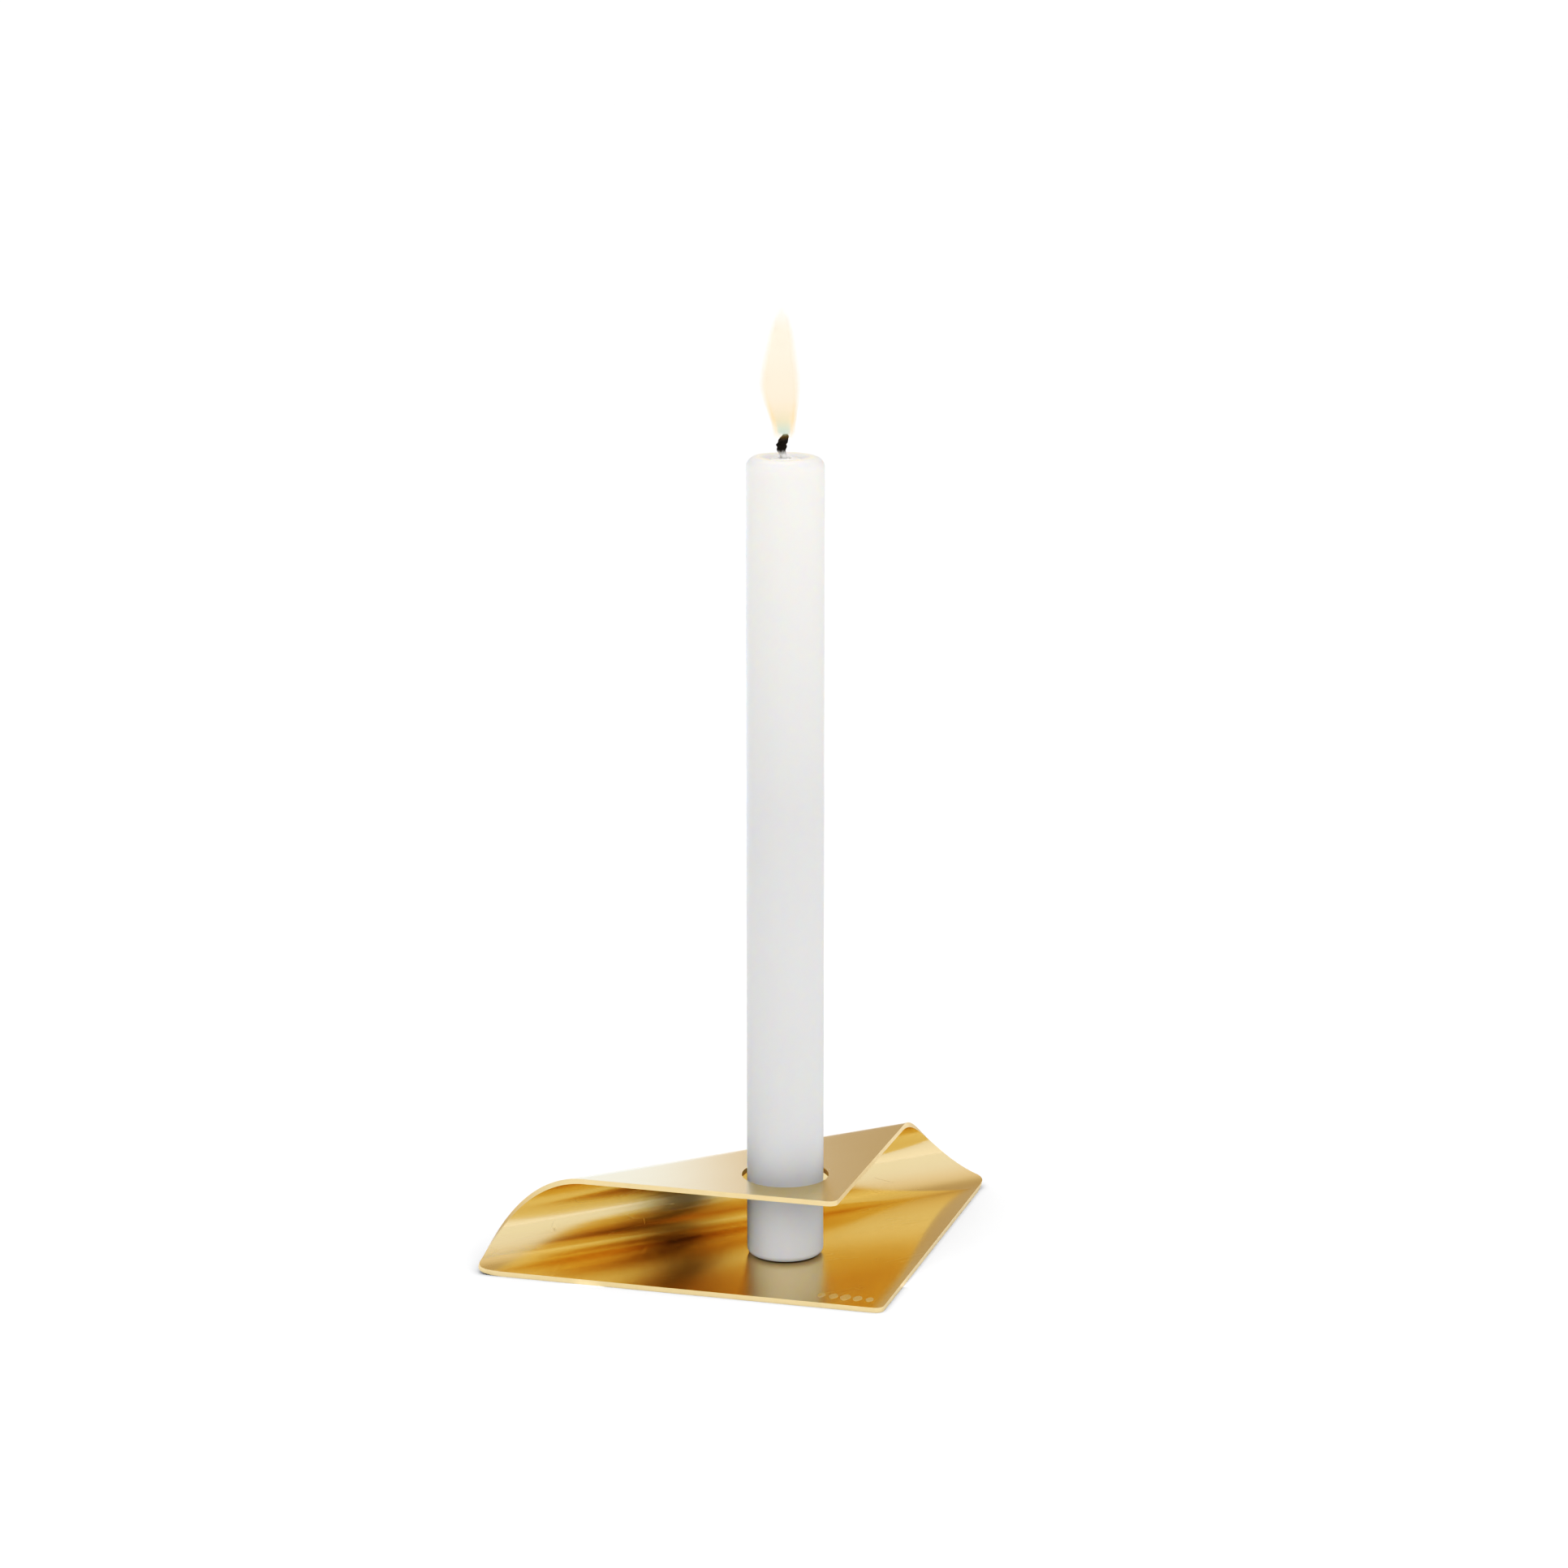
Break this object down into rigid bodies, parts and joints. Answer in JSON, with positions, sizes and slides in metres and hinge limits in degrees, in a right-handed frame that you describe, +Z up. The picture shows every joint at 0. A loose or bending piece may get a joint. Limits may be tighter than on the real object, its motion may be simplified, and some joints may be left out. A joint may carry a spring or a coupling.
{
  "type": "folded sheet candlestick",
  "caption": "Candlestick folded from a square brass sheet: the candle stands on the lower layer, a round hole in the upper layer keeps it upright, and the burning stick candle lifts out.",
  "frame": {"origin": "on the table, under the candle's axis", "axes": "+Z up along the candle; the fold runs along X at the back (+Y), and the sheet's two free corners point to the front (-Y)"},
  "size_m": [0.1676, 0.091, 0.2759],
  "materials": {
    "satin_brass": "satin",
    "candle_wax": "satin",
    "molten_wax": "gloss",
    "wick_cotton": "matte",
    "flame_glow": "matte"
  },
  "bodies": {
    "holder": {"folded_sheet": "satin_brass"},
    "candle": {"wax_body": "candle_wax", "melt_pool": "molten_wax", "wick": "wick_cotton", "flame": "flame_glow"}
  },
  "joints": [
    {"name": "candle_lift", "type": "slide", "parent": "holder", "child": "candle", "axis": [0, 0, 1], "range_m": [0, 0.05]}
  ]
}
